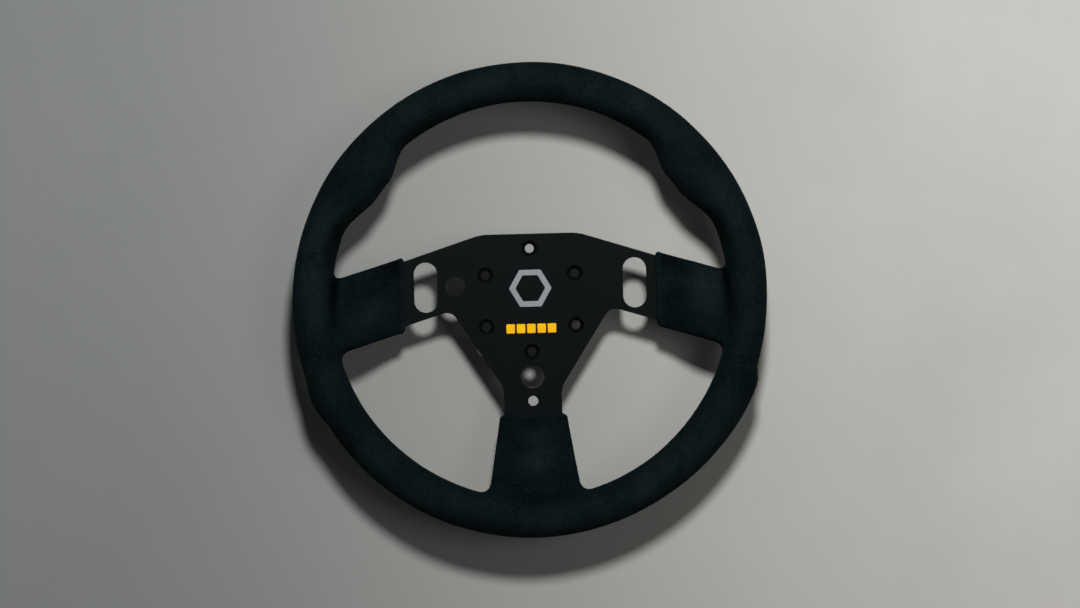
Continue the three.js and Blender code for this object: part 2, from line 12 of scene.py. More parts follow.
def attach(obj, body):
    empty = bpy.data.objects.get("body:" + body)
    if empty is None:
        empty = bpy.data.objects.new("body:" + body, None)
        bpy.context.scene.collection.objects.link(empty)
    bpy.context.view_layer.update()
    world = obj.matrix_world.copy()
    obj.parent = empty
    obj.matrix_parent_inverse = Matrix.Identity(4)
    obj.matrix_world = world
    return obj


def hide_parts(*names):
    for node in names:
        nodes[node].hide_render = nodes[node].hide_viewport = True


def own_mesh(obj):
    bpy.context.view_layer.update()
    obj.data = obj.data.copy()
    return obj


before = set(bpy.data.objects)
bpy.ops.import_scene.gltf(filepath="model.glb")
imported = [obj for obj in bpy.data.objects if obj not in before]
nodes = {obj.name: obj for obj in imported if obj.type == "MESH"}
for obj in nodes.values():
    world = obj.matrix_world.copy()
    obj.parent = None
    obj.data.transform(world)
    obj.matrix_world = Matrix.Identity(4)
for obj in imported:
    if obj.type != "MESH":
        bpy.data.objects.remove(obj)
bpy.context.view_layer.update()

# ---- Dimensions, in millimetres as in the CAD model ----

MM = 0.001
SPOKES = {"right": ((1, 0), (0, 1)), "left": ((-1, 0), (0, 1)), "bottom": ((0, -1), (1, 0))}  # out and across

# Rim, with places round it in degrees from the right towards the top
RIM_INNER = 133.5
RIM_OUTER = 160.0
RIM_HALF_DEPTH = 15.0
RIM_Z = 53.0
GRIP_SWELL = 9.5  # how far a thumb grip stands inwards
GRIP_RISE = (20, 35)  # degrees above the horizontal where a grip grows
GRIP_FALL = (41, 53)  # degrees where it ends, at a sharper shoulder
# Worn places outside: a dent and a bulge on the right (height, then where they start and end, in
# degrees below the horizontal), and a bulge on the left (height, middle and half width)
WORN_RIGHT = ((-1.3, (-14, 10), (16.2, 20.5)), (2.5, (17.6, 22.2), (25, 62)))
WORN_LEFT = (2.4, 204, 8)

# Plate
PLATE_BACK = 33.0
PLATE_FRONT = 37.0
PLATE_TOP_CORNER = (33, 45, 36)  # x, y and rounding of the plate's corners on the right
PLATE_CROTCH = (53.9, -5.9, 9)
PLATE_WAIST = (19.5, -59.5, 18)
PLATE_EDGE = 0.35  # chamfer of its edges
SLOT = (70.9, 10.2, 8, 34)  # x, y, half width and length
BUTTON_HOLES = ((0, -52, 8), (0, -68.5, 3.4), (-51, 10.2, 7))  # x, y and radius
BOLT_CIRCLE_RADIUS = 35.0
BOLT_HOLE_RADIUS = 3.0
SINK = 2.25  # depth and widening of a countersink
SINK_EDGES = (0.12, 0.25)  # broken edges of a bolt hole, in front and at the back

# Spokes: each arm rises from the plate to the rim between two distances from the axis
RAMP = (88.0, 116.0)
ARM_LIFT = 16.0
ARM_END = 136
TONGUE_START = 92
BOTTOM_TONGUE_START = 83
TONGUE_HALF_WIDTH = 14
SIDE_SLOPE = math.tan(math.radians(17.3))  # a side arm falls away from the horizontal
SIDE_TOP_Y = 28.2  # edges and middle of a side arm where its cover starts
SIDE_BOTTOM_Y = -15.8
SIDE_MIDDLE_Y = 6.2
SIDE_SHOULDER = 90  # where an arm starts to narrow to its tongue
BOTTOM_SHOULDER = 81

# Suede covers of the spokes
COVER_START = {"right": 85.5, "left": 85.5, "bottom": 77.0}
SIDE_COVER_MIDDLE = 5.7
SIDE_COVER_HALF = 25.3
BOTTOM_COVER_HEM = 20.5  # half widths of the bottom cover: at its hem, and at its neck behind it
BOTTOM_COVER_NECK = 23
NECK_LENGTH = 3.5
BOTTOM_FLARE = 0.165  # growth of the half width for each millimetre outwards
COVER_END = 146  # inside the rim
COVER_PADDING = 2.4
COVER_CORNER = 2.5
COVER_CROWN = (0.7, 18)  # height of the crown, and the distance over which it rises from the edges
COVER_RISE_BELOW = 10.9  # how far a cover's back and front rise towards the rim
COVER_RISE_ABOVE = 17.0
EDGE_ROUNDING = 2.6
ROOT_ROUNDING = 3.4  # added to the rounding of the edges at the rim
FILLETS = {"right": 7, "left": 7, "bottom": 8.5}  # reach of the fillet between each cover and the rim

# Seams and stitches
SECTION_RADIUS = 14  # of a circle about as long as the rim's oval section
SEAM_ANGLE = math.radians(-122)  # where the rim's seam runs round that section
SEAM_RADIUS = 139
SEAM_DEPTH = 0.6
SEAM_RIDGES = (0.16, 2.4)  # height of the low ridges beside a seam, and their distance from it
PUCKER_DEPTH = 0.12
SEAM_REACH = 3.6  # how far from a seam the mesh is finer
SEAM_FADE_IN = (2, 5)  # distances from a cover's inner end
SEAM_FADE_OUT = (134, 138)  # distances from the axis
STITCH_PITCH = 5.2
STITCH_HALF_WIDTH = 2.1
STITCH_HALF_LENGTH = 1.75
STITCH_HALF_TURN = 0.72  # the same length round the rim, in degrees
SPOKE_STITCHES = (6, 133)  # distance from a cover's inner end, and from the axis
THREAD_RADIUS = 0.36
THREAD_DEPTH = 0.45  # of its ends under the suede
THREAD_ARCH = 0.8
CROSSING_LIFT = 0.35  # of the thread that lies on the other

# Mesh of the suede skin
SKIN_STEP = 1.15
SKIN_BOX = ((-168, -168, 26), (168, 168, 72))
SWELL_DEPTH = 0.2
SOFT_DENT_DEPTH = 0.07

# Creases across the rim: how many would fit round it, their slant, where they are (middle and half
# width in degrees) and their depth
OUTER_CREASES = ((178, 0.12, -18, 6, 0.16), (150, 0.2, 204, 7, 0.14))
INNER_CREASES = ((165, 0.25, 49, 6, 0.13), (165, 0.25, 131, 6, 0.13),
                 (165, 0.25, 24, 5, 0.078), (165, 0.25, 156, 5, 0.078))

# Worn patch on each spoke's cover: distance out, offset, length and strength
WORN_PATCHES = {"right": (112, 8, 17, 0.62), "left": (108, -4, 14, 0.4), "bottom": (104, 4, 16, 0.4)}
PATCH_WIDTH = 11

RIM_SECTION_SCALE = 13  # about half the rim's width

# Hollows beside the thumb grips, darkened with painted shade: middle, half width and strength
SHADED_HOLLOWS = ((20, 13, 1.0), (160, 13, 1.0), (58, 12, 0.7), (122, 12, 0.7))

random = np.random.default_rng(7)


def polar(radius, degrees):
    angle = np.radians(degrees)
    return np.stack([radius * np.cos(angle), radius * np.sin(angle)], -1)


def smoothstep(value, start, end):
    share = np.clip((value - start) / (end - start), 0, 1)
    return share * share * (3 - 2 * share)


def plateau(value, rise, fall):
    """Up from 0 to 1 over the rise, and down again over the fall."""
    return smoothstep(value, *rise) * (1 - smoothstep(value, *fall))


def hump(value, middle, half_width):
    share = np.minimum(1, np.abs(value - middle) / half_width)
    return (1 + np.cos(np.pi * share)) / 2


def bell(value, half_width):
    return np.exp(-((value / half_width) ** 2))


class Ripple:
    """Smooth, seeded noise between about -1 and 1, with features of one size in millimetres."""

    def __init__(self, size, waves=18):
        direction = random.normal(size=(waves, 3))
        direction /= np.linalg.norm(direction, axis=1)[:, None]
        self.wave = direction * (2 * np.pi / (size * random.uniform(0.8, 1.6, waves)))[:, None]
        self.phase = random.uniform(0, 2 * np.pi, waves)

    def __call__(self, points):
        total = np.zeros(len(points))
        for wave, phase in zip(self.wave, self.phase):
            total += np.sin(points @ wave + phase)
        return total / math.sqrt(2 * len(self.wave)) / 1.6


# ---- Materials ----


class Look:
    """A procedural material: a Principled shader with noise in its colour, roughness and relief."""

    def __init__(self, name, **constants):
        self.material = bpy.data.materials.new(name)
        self.material.use_nodes = True
        self.tree = self.material.node_tree
        self.shader = self.tree.nodes["Principled BSDF"]
        for socket, value in constants.items():
            self.shader.inputs[socket.replace("_", " ")].default_value = value
        self.place = self.tree.nodes.new("ShaderNodeTexCoord").outputs["Object"]
        self.relief = None

    def node(self, kind, links=(), **settings):
        made = self.tree.nodes.new(kind)
        for key, value in settings.items():
            setattr(made, key, value)
        for socket, source in dict(links).items():
            target = made.inputs[socket]
            if isinstance(source, bpy.types.NodeSocket):
                self.tree.links.new(source, target)
            else:
                target.default_value = (*source, 1) if target.type == "RGBA" else source
        return made

    def noise(self, size, detail=3.0, stretch=(1, 1, 1), roughness=0.5):
        """Noise with features of about size metres, drawn out along an axis by stretch."""
        scale = [1 / (size * s) for s in stretch]
        scaled = self.node("ShaderNodeMapping", {"Vector": self.place, "Scale": scale})
        links = {"Vector": scaled.outputs[0], "Scale": 1.0, "Detail": detail, "Roughness": roughness}
        return self.node("ShaderNodeTexNoise", links).outputs["Fac"]

    def spread(self, value, low, high, start=0.3, end=0.7, kind="LINEAR"):
        """A value between start and end, spread from low to high."""
        links = {"Value": value, "From Min": start, "From Max": end, "To Min": low, "To Max": high}
        return self.node("ShaderNodeMapRange", links, interpolation_type=kind).outputs["Result"]

    def math(self, operation, first, second=0.0, third=0.0):
        links = {0: first, 1: second, 2: third}
        return self.node("ShaderNodeMath", links, operation=operation).outputs[0]

    def attribute(self, name):
        return self.node("ShaderNodeAttribute", attribute_name=name).outputs["Fac"]

    def blend(self, share, first, second):
        """Mixes two colours; a Mix node's colour sockets come after those for numbers and vectors."""
        links = {0: share, 6: first, 7: second}
        return self.node("ShaderNodeMix", links, data_type="RGBA").outputs[2]

    def color(self, source):
        self.tree.links.new(source, self.shader.inputs["Base Color"])

    def roughness(self, source):
        self.tree.links.new(source, self.shader.inputs["Roughness"])

    def bump(self, height, depth, strength=1.0):
        """Relief of about depth metres, on top of the relief so far."""
        links = {"Height": height, "Distance": depth, "Strength": strength}
        if self.relief is not None:
            links["Normal"] = self.relief
        self.relief = self.node("ShaderNodeBump", links).outputs["Normal"]
        self.tree.links.new(self.relief, self.shader.inputs["Normal"])


def suede_surface(shade_tone, dark, light, worn):
    """Napped suede with clouds, strokes, fibres, scuff lines and lint. The attribute "wear" says where it is
    rubbed;
    the other attribute mixes in painted shade, dark in the valleys by the spokes and the hollows beside the
    grips."""
    look = Look("suede", Sheen_Weight=0.012, Sheen_Roughness=0.5, Sheen_Tint=(0.45, 0.75, 0.8, 1),
                Specular_IOR_Level=0.01)
    clouds = look.spread(look.noise(0.026, 5.0, roughness=0.6), 0, 1, 0.40, 0.62)
    strokes = look.spread(look.noise(0.0055, 4.0, roughness=0.65), 0, 1, 0.38, 0.64)
    fibres = look.spread(look.noise(0.0013, 3.0, roughness=0.75), 0, 1, 0.34, 0.68)
    nap = look.math("MULTIPLY_ADD", clouds, 0.6, look.math("MULTIPLY", strokes, 0.4))
    tone = look.blend(nap, dark, light)
    rub = look.math("MULTIPLY", look.attribute("wear"), look.math("ADD", nap, 0.35))
    tone = look.blend(look.spread(rub, 0, 0.85, 0, 0.9), tone, worn)
    grain = look.math("MULTIPLY", fibres, look.math("MULTIPLY_ADD", rub, 0.5, 0.3))
    tone = look.blend(grain, tone, [c * 1.8 for c in worn])
    ridge = look.math("ABSOLUTE", look.math("SUBTRACT", look.noise(0.034, 2.0), 0.5))
    line = look.spread(ridge, 1, 0, 0.0, 0.006)
    scuff = look.math("MULTIPLY", line, look.spread(strokes, 0, 0.45, 0.45, 1))
    tone = look.blend(scuff, tone, worn)
    lint = look.spread(look.noise(0.0012, 1.0), 0, 0.45, 0.72, 0.78)
    tone = look.blend(lint, tone, [c * 2.2 for c in worn])
    # Painted shade: a near-black tone mixed in by the skin's shade attribute, in the valleys and hollows.
    look.color(look.blend(look.attribute("painted_shade"), tone, shade_tone))
    look.roughness(look.spread(clouds, 0.86, 0.98, 0, 1))
    look.bump(look.noise(0.0055, 4.0, roughness=0.6), 0.0006, 0.7)
    look.bump(look.noise(0.0009, 4.0, roughness=0.75), 0.0003, 0.9)
    return look.material


def metal_surface(name, dark, light, rough, size=0.002, brush=(1, 1, 1), relief=0.00001,
                  metallic=1.0, **constants):
    """Metal, paint or plastic with faint clouding, and tool or brush marks along one axis."""
    look = Look(name, Metallic=metallic, **constants)
    clouds = look.spread(look.noise(0.014, 3.0), 0, 1)
    marks = look.noise(size, 4.0, brush, 0.65)
    tone = look.math("ADD", clouds, look.spread(marks, 0, 1))
    look.color(look.blend(look.spread(tone, 0, 1, 0, 2), dark, light))
    look.roughness(look.spread(tone, rough[0], rough[1], 0, 2))
    look.bump(marks, relief, 0.8)
    return look.material


# The first colour is painted shade, for the valleys and the hollows beside the grips.
SUEDE = suede_surface((0.0003, 0.0007, 0.0008), (0.0007, 0.0020, 0.0022), (0.0026, 0.0062, 0.0068),
                      (0.0072, 0.0122, 0.0131))
THREAD = metal_surface("thread", (0.006, 0.008, 0.009), (0.016, 0.020, 0.022), (0.7, 0.9), 0.0004,
                       relief=0.00012, metallic=0.0)
PLATE = metal_surface("plate", (0.0009, 0.0023, 0.0027), (0.0026, 0.0045, 0.0049), (0.5, 0.62), 0.0005,
                      brush=(40, 1, 1), relief=0.000006, metallic=0.0, Specular_IOR_Level=0.045)
EMBLEM = metal_surface("emblem", (0.20, 0.222, 0.235), (0.27, 0.292, 0.305), (0.45, 0.6), 0.0005,
                       brush=(25, 1, 1), relief=0.000008, metallic=0.15, Specular_IOR_Level=0.3)
HUB = metal_surface("hub", (0.020, 0.022, 0.025), (0.034, 0.036, 0.040), (0.26, 0.38), 0.004,
                    brush=(1, 1, 0.15), metallic=0.8)
COLLAR = metal_surface("collar", (0.42, 0.43, 0.45), (0.56, 0.57, 0.59), (0.2, 0.34), 0.004,
                       brush=(1, 1, 0.1))
ZINC = metal_surface("zinc", (0.44, 0.45, 0.44), (0.62, 0.62, 0.58), (0.28, 0.46), 0.0012)
SPRING = metal_surface("spring", (0.20, 0.20, 0.21), (0.34, 0.34, 0.35), (0.25, 0.42), 0.0008)
BALL = metal_surface("ball", (0.68, 0.69, 0.70), (0.78, 0.79, 0.80), (0.06, 0.12), 0.003, relief=0.000001)
ALLOY = metal_surface("rivet", (0.50, 0.51, 0.52), (0.68, 0.69, 0.70), (0.32, 0.5), 0.001)
HOOP = metal_surface("hoop", (0.28, 0.28, 0.29), (0.42, 0.42, 0.43), (0.35, 0.55), 0.003)
FOAM = metal_surface("foam", (0.012, 0.012, 0.013), (0.022, 0.022, 0.024), (0.8, 0.95), 0.0012,
                     relief=0.0002, metallic=0.0)


def enamel_surface():
    """Glossy enamel, darker where the attribute "edge" is high: a dark outline round each block, deepened by
    painted shade on the lower side.
    """
    look = Look("enamel", Specular_IOR_Level=0.1)
    edge = look.spread(look.attribute("edge"), 0, 1, 0.2, 0.9)
    clouds = look.spread(look.noise(0.006, 3.0), 0, 1)
    tint = look.blend(clouds, (0.95, 0.50, 0.0), (1.0, 0.57, 0.001))
    # A dark outline, darker on the lower side as painted shade.
    look.color(look.blend(edge, tint, (0.62, 0.12, 0.01)))
    look.roughness(look.spread(look.noise(0.0012, 3.0), 0.3, 0.45))
    look.bump(look.noise(0.0009, 3.0), 0.00001, 0.5)
    return look.material


ENAMEL = enamel_surface()

# ---- Pieces ----


def add_object(name, data):
    made = bpy.data.objects.new(name, data)
    bpy.context.scene.collection.objects.link(made)
    return made


def solid_mesh(name, points, faces):
    """A mesh given in millimetres, with its faces turned outwards."""
    mesh = bpy.data.meshes.new(name)
    mesh.from_pydata((np.asarray(points, float) * MM).tolist(), [], [list(map(int, f)) for f in faces])
    shell = bmesh.new()
    shell.from_mesh(mesh)
    bmesh.ops.recalc_face_normals(shell, faces=shell.faces)
    shell.to_mesh(mesh)
    shell.free()
    return mesh


def piece(name, points, faces, material, body, slot, stands_for=(), sharp=32.0):
    """A mesh that rides on a body and may stand for CAD nodes; edges over the sharp angle stay crisp."""
    mesh = solid_mesh(name, points, faces)
    mesh.shade_smooth()
    if sharp < 180:
        mesh.set_sharp_from_angle(angle=math.radians(sharp))
    mesh.materials.append(material)
    made = add_object(name, mesh)
    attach(made, body)
    if stands_for:
        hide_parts(*stands_for)
    return made


def weights(made, name, values):
    """Stores one number per vertex, for a material to read."""
    layer = made.data.attributes.new(name, "FLOAT", "POINT")
    layer.data.foreach_set("value", np.asarray(values, np.float32))


def band(first, second, count):
    """Quads between two closed rings of count points."""
    return [(first + i, first + (i + 1) % count, second + (i + 1) % count, second + i) for i in range(count)]


def revolve(rings, count, closed=False):
    """A body of revolution from (radius, height) rings; a radius may be a function of the angle."""
    degrees = np.arange(count) * 360 / count
    points, faces, rows = [], [], []
    for radius, height in rings:
        around = degrees[:1] if radius == 0 else degrees
        radii = radius(around) if callable(radius) else np.full(len(around), float(radius))
        rows.append(range(len(points), len(points) + len(around)))
        points += [(x, y, height) for x, y in polar(radii, around)]
    for first, second in zip(rows, rows[1:] + rows[:1] if closed else rows[1:]):
        for i in range(count):
            here, there = [[row[k % len(row)] for k in (i, i + 1)] for row in (first, second)]
            faces.append(tuple(dict.fromkeys([*here, *reversed(there)])))
    return np.array(points), faces


def tube(path, radius, sides, taper=1.0):
    """A round tube along a path, closed at both ends."""
    path = np.asarray(path, float)
    along = np.gradient(path, axis=0)
    along /= np.linalg.norm(along, axis=1)[:, None]
    side = np.cross(along, (0.0, 0.0, 1.0))
    flat = np.linalg.norm(side, axis=1) < 1e-3
    side[flat] = np.cross(along[flat], (1.0, 0.0, 0.0))
    side /= np.linalg.norm(side, axis=1)[:, None]
    other = np.cross(along, side)
    turn = np.arange(sides) * 2 * np.pi / sides
    reach = radius * taper * np.ones(len(path))
    ring = np.cos(turn)[None, :, None] * side[:, None] + np.sin(turn)[None, :, None] * other[:, None]
    points = (path[:, None] + ring * reach[:, None, None]).reshape(-1, 3)
    last = len(points) - sides
    faces = [tuple(range(sides)), tuple(range(last, last + sides))]
    for start in range(0, last, sides):
        faces += band(start, start + sides, sides)
    return points, faces


def gather(parts):
    """Several (points, faces) as one."""
    points, faces = [], []
    for part_points, part_faces in parts:
        faces += [tuple(i + len(points) for i in face) for face in part_faces]
        points += list(part_points)
    return np.array(points), faces


# ---- Suede skin: a signed distance, meshed on a grid ----


def rim_radii(degrees):
    """The rim's inner radius, with the thumb grips, and its outer radius, with the worn places."""
    above = np.where(degrees > 90, 180 - degrees, degrees)
    grip = plateau(above, GRIP_RISE, GRIP_FALL)
    worn = sum(height * plateau(-degrees, start, end) for height, start, end in WORN_RIGHT)
    worn = worn + WORN_LEFT[0] * hump(degrees, *WORN_LEFT[1:])
    return RIM_INNER - GRIP_SWELL * grip, RIM_OUTER + worn


def rim_section(points):
    """Angle round the wheel in degrees, and the place in the oval section: offsets and half width."""
    degrees = np.degrees(np.arctan2(points[:, 1], points[:, 0]))
    degrees = np.where(degrees < -90, degrees + 360, degrees)
    inner, outer = rim_radii(degrees)
    across = np.hypot(points[:, 0], points[:, 1]) - (inner + outer) / 2
    return degrees, across, (outer - inner) / 2, points[:, 2] - RIM_Z


def along_spoke(points, spoke):
    """Distance out along a spoke, and across it."""
    return [points[:, :2] @ np.array(way) for way in SPOKES[spoke]]


def from_spoke(out, across, height, spoke):
    """The reverse of along_spoke."""
    return np.column_stack([np.column_stack([out, across]) @ np.array(SPOKES[spoke]), height])


def spoke_middle(out, spoke):
    return 0 * out if spoke == "bottom" else SIDE_COVER_MIDDLE - SIDE_SLOPE * (out - COVER_START[spoke])


def cover_heights(out):
    """The back and front of a spoke's cover, which rises to the rim, and the share of that rise."""
    rise = smoothstep(out, RAMP[0] - 2, RAMP[1] + 2)
    low = PLATE_BACK - COVER_PADDING + COVER_RISE_BELOW * rise
    high = PLATE_FRONT + COVER_PADDING + COVER_RISE_ABOVE * rise
    return low, high, rise


def rounded_both(first, second, radius):
    """The overlap of two distances, with the edge between them rounded."""
    corner = np.hypot(np.maximum(first + radius, 0), np.maximum(second + radius, 0))
    return corner + np.minimum(np.maximum(first, second) + radius, 0) - radius


def slanted(off, along, slope):
    """Distance from a straight edge that moves away by its slope for each millimetre along."""
    return (off - slope * along) / math.hypot(1, slope)


def spoke_distance(points, spoke):
    """Distance from a spoke's cover, a slab with rounded edges; the bottom one flares towards the rim."""
    out, across = along_spoke(points, spoke)
    off = np.abs(across - spoke_middle(out, spoke))
    if spoke == "bottom":
        from_end = out - COVER_START[spoke]
        flank = slanted(off - BOTTOM_COVER_NECK, from_end - NECK_LENGTH, BOTTOM_FLARE)
        neck_slope = (BOTTOM_COVER_NECK - BOTTOM_COVER_HEM) / NECK_LENGTH
        side = np.maximum(flank, slanted(off - BOTTOM_COVER_HEM, from_end, neck_slope))
    else:
        side = slanted(off - SIDE_COVER_HALF, 0, SIDE_SLOPE)
    end = np.maximum(COVER_START[spoke] - out, out - COVER_END)
    plan = rounded_both(side, end, COVER_CORNER)
    low, high, rise = cover_heights(out)
    crown = COVER_CROWN[0] * np.clip(-side / COVER_CROWN[1], 0, 1)
    upright = np.abs(points[:, 2] - (low + high) / 2) - (high - low) / 2 - crown
    return rounded_both(plan, upright, EDGE_ROUNDING + ROOT_ROUNDING * rise)


def joined(first, second, reach):
    """The union of two distances, filleted over a reach."""
    share = np.clip(reach - np.abs(first - second), 0, None) / reach
    return np.minimum(first, second) - share * share * reach / 4


SLOW_SWELL = Ripple(46)
SOFT_DENTS = Ripple(12)


def creases(degrees, up, places):
    total = 0
    for count, slant, middle, half_width, depth in places:
        wave = np.sin(np.radians(degrees * count) + up * slant)
        total = total + depth * hump(degrees, middle, half_width) * wave
    return total


def seam_offset(across, half, up):
    """Distance round the rim's section from its seam."""
    return (np.arctan2(up / RIM_HALF_DEPTH, across / half) - SEAM_ANGLE) * SECTION_RADIUS


def on_cover(points, spoke):
    """Distance out along a spoke, offset from its middle, and level, from 0 at its back to 1 in front."""
    out, across = along_spoke(points, spoke)
    low, high, _ = cover_heights(out)
    return out, across - spoke_middle(out, spoke), (points[:, 2] - low) / (high - low)


def skin_distance(points, detailed=True):
    """Signed distance from the suede: the rim joined to the three covers, then its seams and creases."""
    degrees, across, half, up = rim_section(points)
    far = np.hypot(across / half, up / RIM_HALF_DEPTH)
    steep = np.hypot(across / half**2, up / RIM_HALF_DEPTH**2)
    distance = far * (far - 1) / np.maximum(steep, 1e-3)
    for spoke in SPOKES:
        distance = joined(distance, spoke_distance(points, spoke), FILLETS[spoke])
    if not detailed:
        return distance
    distance += groove(seam_offset(across, half, up), np.radians(degrees) * SEAM_RADIUS)
    for spoke in SPOKES:
        out, off, level = on_cover(points, spoke)
        shown = smoothstep(out - COVER_START[spoke], *SEAM_FADE_IN) * (1 - smoothstep(out, *SEAM_FADE_OUT))
        distance += (level < 0.5) * shown * groove(off, out)
    distance += np.clip(across / half, 0, 1) ** 2 * creases(degrees, up, OUTER_CREASES)
    distance += np.clip(-across / half, 0, 1) ** 2 * creases(degrees, up, INNER_CREASES)
    return distance - SWELL_DEPTH * SLOW_SWELL(points) - SOFT_DENT_DEPTH * SOFT_DENTS(points)


def groove(off, along):
    """A seam's valley between two low ridges, pulled in a little more at each stitch."""
    valley = SEAM_DEPTH * bell(off, 0.9)
    ridges = SEAM_RIDGES[0] * bell(np.abs(off) - SEAM_RIDGES[1], 1.2)
    pucker = PUCKER_DEPTH * np.cos(2 * np.pi * along / STITCH_PITCH) * bell(off, 3.2)
    return valley - ridges + pucker


def skin_normal(points):
    step = 0.05
    slope = np.empty_like(points)
    for axis in range(3):
        shift = np.zeros(3)
        shift[axis] = step
        slope[:, axis] = skin_distance(points + shift, False) - skin_distance(points - shift, False)
    return slope / (2 * step)


def settle(points, detailed=True, rounds=4, plane=None):
    """Moves points onto the skin, along its slope; plane is an axis that they keep their place on."""
    for _ in range(rounds):
        slope = skin_normal(points)
        if plane is not None:
            slope[:, plane] = 0
        size = np.maximum((slope**2).sum(1), 0.05)
        step = np.clip(skin_distance(points, detailed) / size, -2, 2)
        points = points - slope * step[:, None]
    return points


def surface_net(low, high, step):
    """A quad mesh of the skin, one point for each grid cell that the surface crosses."""
    grids = [np.arange(a, b, step) for a, b in zip(low, high)]
    shape = tuple(len(g) for g in grids)
    inside = np.empty(shape, bool)
    for i, x in enumerate(grids[0]):
        y, z = np.meshgrid(grids[1], grids[2], indexing="ij")
        sheet = np.stack([np.full(y.size, x), y.ravel(), z.ravel()], -1)
        inside[i] = (skin_distance(sheet, False) < 0).reshape(y.shape)
    corners = sum(
        inside[i : shape[0] - 1 + i, j : shape[1] - 1 + j, k : shape[2] - 1 + k].astype(np.int8)
        for i in (0, 1) for j in (0, 1) for k in (0, 1)
    )
    active = (corners > 0) & (corners < 8)
    cells = np.argwhere(active)
    index = np.full(active.shape, -1)
    index[active] = np.arange(len(cells))
    points = np.array(low) + (cells + 0.5) * step
    quads = []
    for axis in range(3):
        here = np.moveaxis(inside, axis, 0)
        change = here[1:] != here[:-1]
        place = np.argwhere(np.moveaxis(change, 0, axis))
        first, second = [np.eye(3, dtype=int)[a] for a in range(3) if a != axis]
        place = place[((place - first - second) >= 0).all(1) & (place < np.array(active.shape)).all(1)]
        around = [place - first - second, place - first, place, place - second]
        quads.append(np.stack([index[tuple(p.T)] for p in around], -1))
    return points, np.concatenate(quads)


def relax(points, quads, share=0.5):
    """Evens out a quad mesh by moving each point towards the middle of its neighbours."""
    total = np.zeros_like(points)
    count = np.zeros(len(points))
    for a, b in ((0, 1), (1, 2), (2, 3), (3, 0)):
        for one, other in ((a, b), (b, a)):
            np.add.at(total, quads[:, one], points[quads[:, other]])
            np.add.at(count, quads[:, one], 1)
    return points + share * (total / count[:, None] - points)


def near_seam(points):
    """Which points are close to a seam."""
    _, across, half, up = rim_section(points)
    near = np.abs(seam_offset(across, half, up)) < SEAM_REACH
    for spoke in SPOKES:
        out, off, level = on_cover(points, spoke)
        within = (out > COVER_START[spoke]) & (out < SEAM_FADE_OUT[1] + 2)
        near |= (np.abs(off) < SEAM_REACH) & (level < 0.5) & within
    return near


def make_skin():
    """The suede skin: meshed, evened out, made finer near its seams, then given its fine relief."""
    points, quads = surface_net(*SKIN_BOX, SKIN_STEP)
    points = settle(points, False, 3)
    for _ in range(3):
        points = settle(relax(points, quads), False, 2)
    skin = piece("rim_skin", points, quads, SUEDE, "wheel", "suede", COVERS, sharp=180)
    shell = bmesh.new()
    shell.from_mesh(skin.data)
    near = near_seam(np.array([v.co for v in shell.verts]) / MM)
    shell.verts.ensure_lookup_table()
    edges = [e for e in shell.edges if near[e.verts[0].index] and near[e.verts[1].index]]
    bmesh.ops.subdivide_edges(shell, edges=edges, cuts=1, use_grid_fill=True)
    shell.to_mesh(skin.data)
    shell.free()
    place = np.empty(len(skin.data.vertices) * 3)
    skin.data.vertices.foreach_get("co", place)
    place = settle(place.reshape(-1, 3) / MM, True, 4)
    skin.data.vertices.foreach_set("co", (place * MM).ravel())
    skin.data.shade_smooth()
    skin.data.update()
    weights(skin, "wear", wear_of(place))
    # Painted shade in the valleys and hollows, for the suede's colour.
    weights(skin, "painted_shade", painted_shade_of(place))


CREST_WEAR = Ripple(60)
PATCH_WEAR = Ripple(24)


def wear_of(points):
    """Where hands have rubbed the nap, from 0 to 1: the rim's crest, and patches on the spokes."""
    _, _, _, up = rim_section(points)
    crest = np.clip(up / RIM_HALF_DEPTH, 0, 1) ** 3 * (0.35 + 0.3 * CREST_WEAR(points))
    patch = np.zeros(len(points))
    for spoke, (middle, aside, length, strength) in WORN_PATCHES.items():
        out, off, level = on_cover(points, spoke)
        spot = bell(out - middle, length) * bell(off - aside, PATCH_WIDTH)
        patch += strength * smoothstep(level, 0.5, 1) * spot
    mottle = PATCH_WEAR(points)
    return np.clip(crest + patch * (1 + 0.6 * mottle) + 0.12 * mottle, 0, 1)


def painted_shade_of(points):
    """Painted shade, from 0 to 0.9: dark in the valleys between rim and spokes, mostly on the upper side of
    the side spokes, and in the hollows beside the thumb grips, with a slow random change on top."""
    degrees, across, half, up = rim_section(points)
    far = np.hypot(across / half, up / RIM_HALF_DEPTH)
    rim = (far - 1) * RIM_SECTION_SCALE
    valley = np.zeros(len(points))
    for spoke in SPOKES:
        _, off, _ = on_cover(points, spoke)
        beside = np.abs(rim - spoke_distance(points, spoke))
        # Painted shade is strongest on the upper side of the side spokes and faint on the bottom one.
        strength = 0.2 if spoke == "bottom" else smoothstep(off, -16, 22)
        valley = np.maximum(valley, (1 - smoothstep(beside, 0.5, 7)) * strength * (up > -12))
    hollow = sum(strength * hump(degrees, middle, half_width) for middle, half_width, strength in SHADED_HOLLOWS)
    inside = smoothstep(-across / half, 0.1, 0.95)
    return np.clip(np.maximum(valley, 0.75 * hollow * inside) + 0.25 * SLOW_SWELL(points), 0, 0.9)


COVERS = [n for n in nodes if n.startswith(("rim_cover", "spoke_cover"))]


def thread(path, lift):
    """One stitch: a thread that comes out of the suede, lies on it and goes back in."""
    share = np.linspace(0, 1, len(path))
    settled = settle(np.asarray(path), True, 4)
    normal = skin_normal(settled)
    normal /= np.linalg.norm(normal, axis=1)[:, None]
    height = (THREAD_ARCH + lift) * np.sin(np.pi * share) ** 0.6 - THREAD_DEPTH
    return tube(settled + normal * height[:, None], THREAD_RADIUS, 6)


